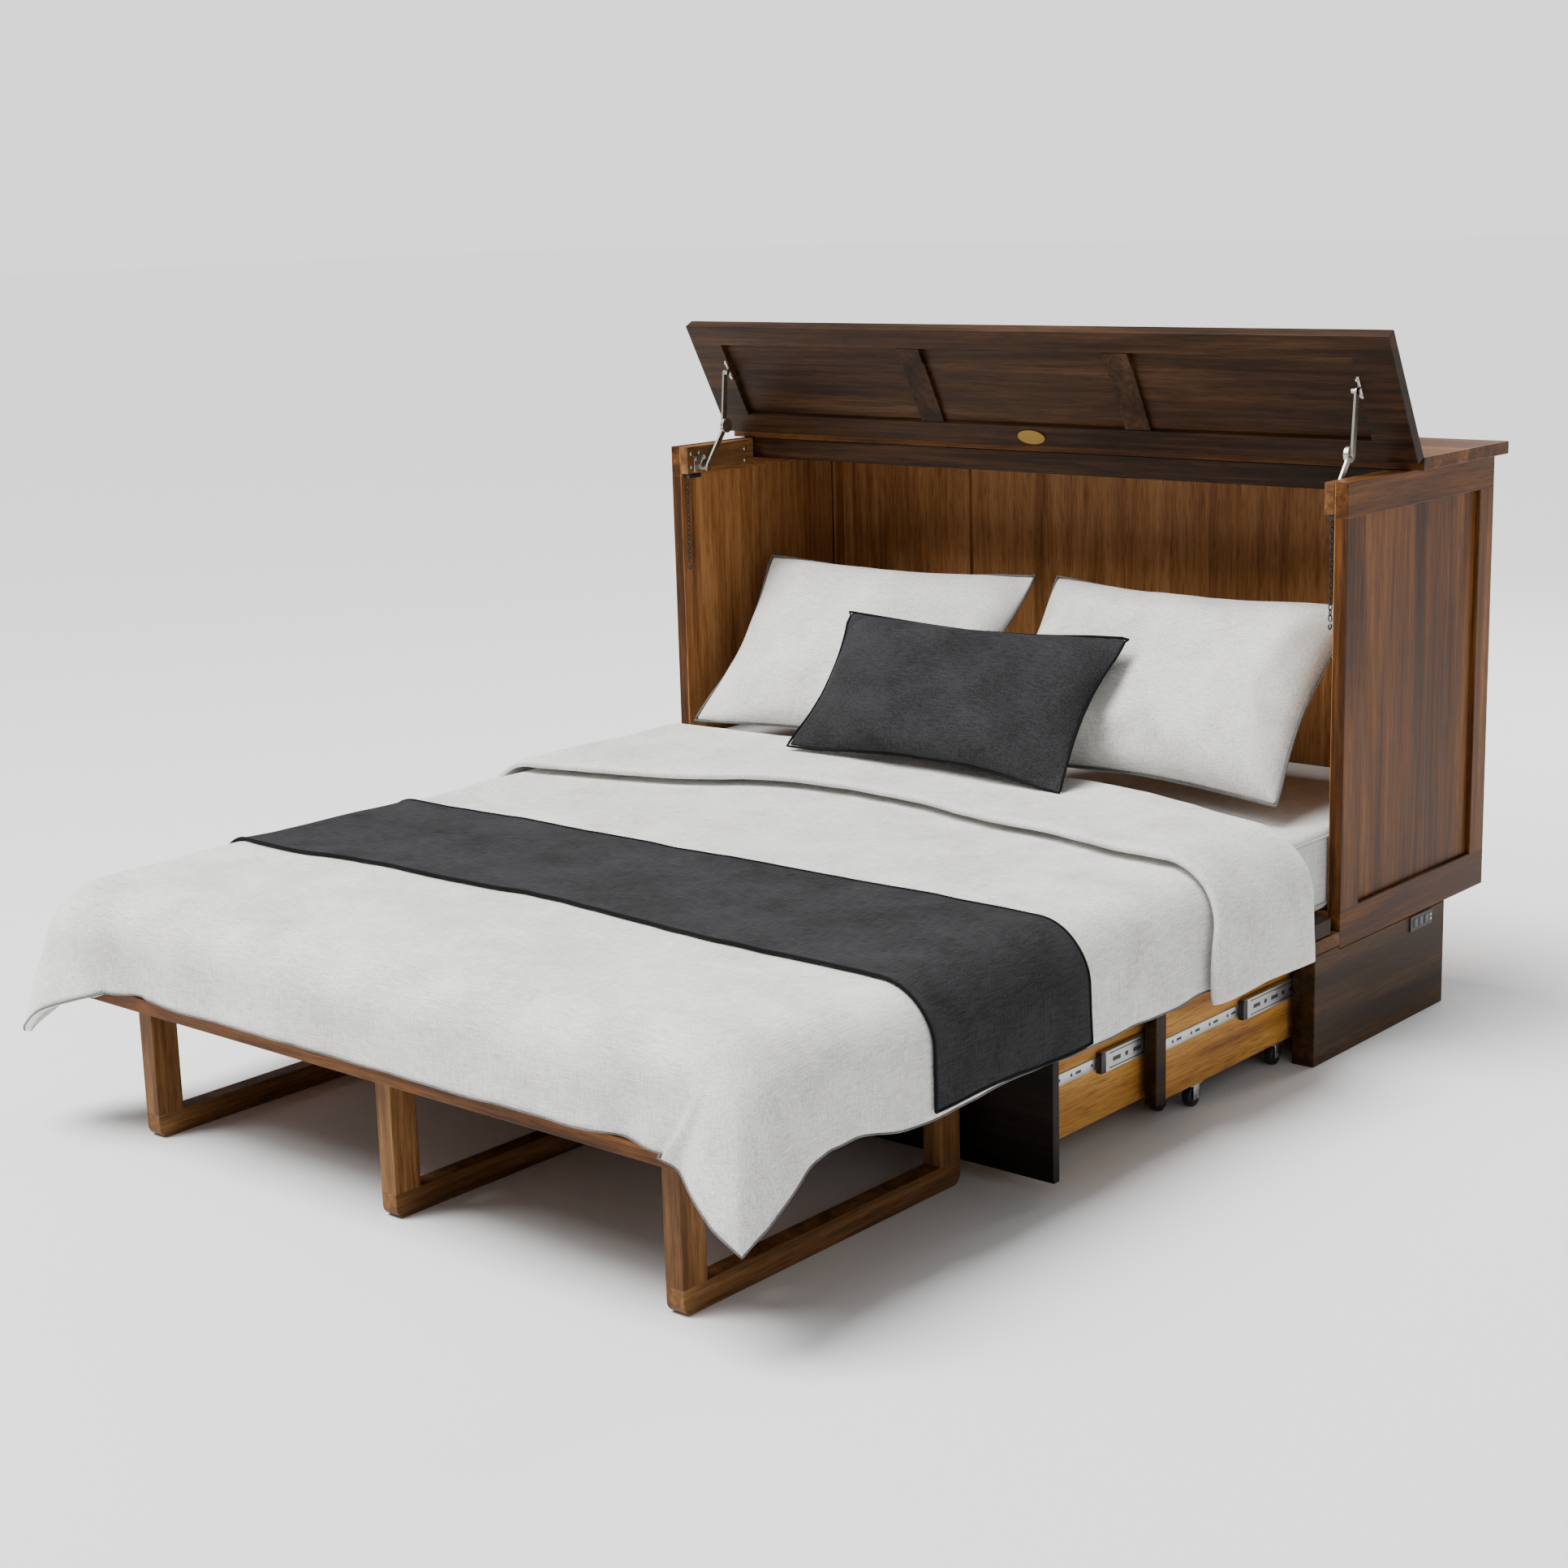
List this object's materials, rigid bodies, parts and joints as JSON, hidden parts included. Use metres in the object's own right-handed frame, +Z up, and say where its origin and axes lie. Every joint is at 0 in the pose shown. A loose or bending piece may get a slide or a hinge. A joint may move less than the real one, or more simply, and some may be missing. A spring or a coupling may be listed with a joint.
{
  "type": "murphy cabinet bed",
  "caption": "Free-standing cabinet bed shown open: fold-out platform on leg loops, tri-fold mattress with bedding, a deep storage drawer and a folding lid.",
  "frame": {"origin": "centre of the open bed's footprint, on the floor", "axes": "+Y from the bed's foot to the cabinet's back, +X to the right of someone standing at the foot and facing the cabinet, +Z up"},
  "size_m": [1.696, 2.168, 1.2807],
  "materials": {
    "dark_walnut": "satin lacquered walnut veneer",
    "warm_walnut": "satin warm brown walnut veneer",
    "drawer_wood": "clear lacquered golden brown wood",
    "nickel": "brushed nickel plate",
    "steel": "zinc plated steel",
    "brass": "aged brass",
    "black_metal": "black coated steel",
    "black_plastic": "matte black plastic",
    "tyre": "black rubber tread",
    "mattress_cover": "pale grey knitted mattress cover",
    "grey_linen": "washed light grey linen weave",
    "charcoal_weave": "charcoal flat weave"
  },
  "bodies": {
    "cabinet": {"base_side_left": "dark_walnut", "base_side_right": "dark_walnut", "base_back": "dark_walnut", "ledge": "warm_walnut", "head_platform": "warm_walnut", "side_frame_left": "dark_walnut", "side_frame_right": "dark_walnut", "side_panel_left": "dark_walnut", "side_panel_right": "dark_walnut", "cleat_left": "warm_walnut", "cleat_right": "warm_walnut", "back_board": "warm_walnut", "fixed_top": "dark_walnut", "top_front_rail": "dark_walnut", "power_outlet": "black_plastic", "lid_hinge": "brass", "mattress_main": "mattress_cover", "duvet_upper": "grey_linen", "pillow_left": "grey_linen", "pillow_right": "grey_linen", "lumbar_cushion": "charcoal_weave"},
    "lid": {"lid_frame": "dark_walnut", "lid_panel": "dark_walnut", "lid_batten_left": "dark_walnut", "lid_batten_right": "dark_walnut", "lid_badge": "brass"},
    "front_panel": {"front_panel": "dark_walnut", "mattress_foot": "mattress_cover", "duvet_foot": "grey_linen", "throw_blanket": "charcoal_weave"},
    "foot_panel": {"foot_panel": "warm_walnut"},
    "leg_left": {"leg_loop_left": "warm_walnut"},
    "leg_centre": {"leg_loop_centre": "warm_walnut"},
    "leg_right": {"leg_loop_right": "warm_walnut"},
    "carriage": {"carriage_side_left": "drawer_wood", "carriage_side_right": "drawer_wood", "carriage_rail": "drawer_wood"},
    "drawer": {"drawer_front": "dark_walnut", "drawer_side_left": "drawer_wood", "drawer_side_right": "drawer_wood", "drawer_back": "drawer_wood", "drawer_bottom": "drawer_wood"},
    "base_runners": {"base_runner_left": "steel", "base_runner_right": "steel"},
    "box_runners": {"box_runner_left": "steel", "box_runner_right": "steel"},
    "stay_lower_left": {"stay_lower_left": "nickel"},
    "stay_upper_left": {"stay_upper_left": "nickel"},
    "chain_left": {"chain_left": "black_metal"},
    "stay_lower_right": {"stay_lower_right": "nickel"},
    "stay_upper_right": {"stay_upper_right": "nickel"},
    "chain_right": {"chain_right": "black_metal"},
    "wheel_drawer_left": {"wheel_drawer_left": "tyre"},
    "wheel_drawer_right": {"wheel_drawer_right": "tyre"},
    "wheel_carriage_front_left": {"wheel_carriage_front_left": "tyre"},
    "wheel_carriage_front_right": {"wheel_carriage_front_right": "tyre"},
    "wheel_carriage_rear_left": {"wheel_carriage_rear_left": "tyre"},
    "wheel_carriage_rear_right": {"wheel_carriage_rear_right": "tyre"}
  },
  "joints": [
    {"name": "lid_fold", "type": "hinge", "parent": "cabinet", "child": "lid", "pos_m": [0, 0.7475, 1.0484], "axis": [1, 0, 0], "range_deg": [0, 62.1]},
    {"name": "middle_fold", "type": "hinge", "parent": "cabinet", "child": "front_panel", "pos_m": [0, 0.493, 0.234], "axis": [-1, 0, 0], "range_deg": [0, 90], "deforming": ["mattress_main", "duvet_upper", "pillow_left", "pillow_right", "lumbar_cushion"]},
    {"name": "foot_fold", "type": "hinge", "parent": "front_panel", "child": "foot_panel", "pos_m": [0, -0.29875, 0.264], "axis": [-1, 0, 0], "range_deg": [0, 180], "deforming": ["mattress_foot", "duvet_foot", "throw_blanket"]},
    {"name": "leg_right_fold", "type": "hinge", "parent": "foot_panel", "child": "leg_right", "pos_m": [0.588, -0.699, 0.23685], "axis": [0, 1, 0], "range_deg": [0, 90]},
    {"name": "leg_left_fold", "type": "hinge", "parent": "foot_panel", "child": "leg_left", "pos_m": [-0.588, -0.699, 0.23685], "axis": [0, -1, 0], "range_deg": [0, 90]},
    {"name": "leg_centre_fold", "type": "hinge", "parent": "foot_panel", "child": "leg_centre", "pos_m": [-0.017, -0.699, 0.23685], "axis": [0, 1, 0], "range_deg": [0, 90]},
    {"name": "carriage_slide", "type": "slide", "parent": "cabinet", "child": "carriage", "axis": [0, 1, 0], "range_m": [0, 0.4375]},
    {"name": "drawer_slide", "type": "slide", "parent": "carriage", "child": "drawer", "axis": [0, 1, 0], "range_m": [0, 0.3215]},
    {"name": "base_runner_slide", "type": "slide", "parent": "cabinet", "child": "base_runners", "axis": [0, 1, 0], "range_m": [0, 0.2188]},
    {"name": "box_runner_slide", "type": "slide", "parent": "carriage", "child": "box_runners", "axis": [0, 1, 0], "range_m": [0, 0.1608]},
    {"name": "stay_lower_left_turn", "type": "hinge", "parent": "cabinet", "child": "stay_lower_left", "pos_m": [-0.7345, 0.569, 0.98], "axis": [1, 0, 0], "range_deg": [-79.55, 0]},
    {"name": "stay_upper_left_turn", "type": "hinge", "parent": "lid", "child": "stay_upper_left", "pos_m": [-0.7398, 0.64197, 1.17356], "axis": [1, 0, 0], "range_deg": [-13.72, 0]},
    {"name": "stay_lower_right_turn", "type": "hinge", "parent": "cabinet", "child": "stay_lower_right", "pos_m": [0.7345, 0.569, 0.98], "axis": [1, 0, 0], "range_deg": [-79.55, 0]},
    {"name": "stay_upper_right_turn", "type": "hinge", "parent": "lid", "child": "stay_upper_right", "pos_m": [0.7398, 0.64197, 1.17356], "axis": [1, 0, 0], "range_deg": [-13.72, 0]},
    {"name": "chain_left_swing", "type": "hinge", "parent": "cabinet", "child": "chain_left", "pos_m": [-0.757, 0.531, 0.962], "axis": [1, 0, 0], "range_deg": [-80, 20]},
    {"name": "chain_right_swing", "type": "hinge", "parent": "cabinet", "child": "chain_right", "pos_m": [0.757, 0.531, 0.962], "axis": [1, 0, 0], "range_deg": [-80, 20]},
    {"name": "wheel_drawer_left_spin", "type": "hinge", "parent": "drawer", "child": "wheel_drawer_left", "pos_m": [-0.69, 0.091, 0.019], "axis": [1, 0, 0], "continuous": true},
    {"name": "wheel_drawer_right_spin", "type": "hinge", "parent": "drawer", "child": "wheel_drawer_right", "pos_m": [0.69, 0.091, 0.019], "axis": [1, 0, 0], "continuous": true},
    {"name": "wheel_carriage_front_left_spin", "type": "hinge", "parent": "carriage", "child": "wheel_carriage_front_left", "pos_m": [-0.722, 0.144, 0.019], "axis": [1, 0, 0], "continuous": true},
    {"name": "wheel_carriage_front_right_spin", "type": "hinge", "parent": "carriage", "child": "wheel_carriage_front_right", "pos_m": [0.722, 0.144, 0.019], "axis": [1, 0, 0], "continuous": true},
    {"name": "wheel_carriage_rear_left_spin", "type": "hinge", "parent": "carriage", "child": "wheel_carriage_rear_left", "pos_m": [-0.722, 0.414, 0.019], "axis": [1, 0, 0], "continuous": true},
    {"name": "wheel_carriage_rear_right_spin", "type": "hinge", "parent": "carriage", "child": "wheel_carriage_rear_right", "pos_m": [0.722, 0.414, 0.019], "axis": [1, 0, 0], "continuous": true}
  ],
  "couplings": [
    {"joint": "leg_left_fold", "follows": "foot_fold", "ratio": 0.5},
    {"joint": "leg_centre_fold", "follows": "foot_fold", "ratio": 0.5},
    {"joint": "leg_right_fold", "follows": "foot_fold", "ratio": 0.5},
    {"joint": "base_runner_slide", "follows": "carriage_slide", "ratio": 0.5},
    {"joint": "box_runner_slide", "follows": "drawer_slide", "ratio": 0.5},
    {"joint": "stay_lower_left_turn", "follows": "lid_fold", "ratio": -1.273},
    {"joint": "stay_upper_left_turn", "follows": "lid_fold", "ratio": -0.2129},
    {"joint": "stay_lower_right_turn", "follows": "lid_fold", "ratio": -1.273},
    {"joint": "stay_upper_right_turn", "follows": "lid_fold", "ratio": -0.2129}
  ]
}
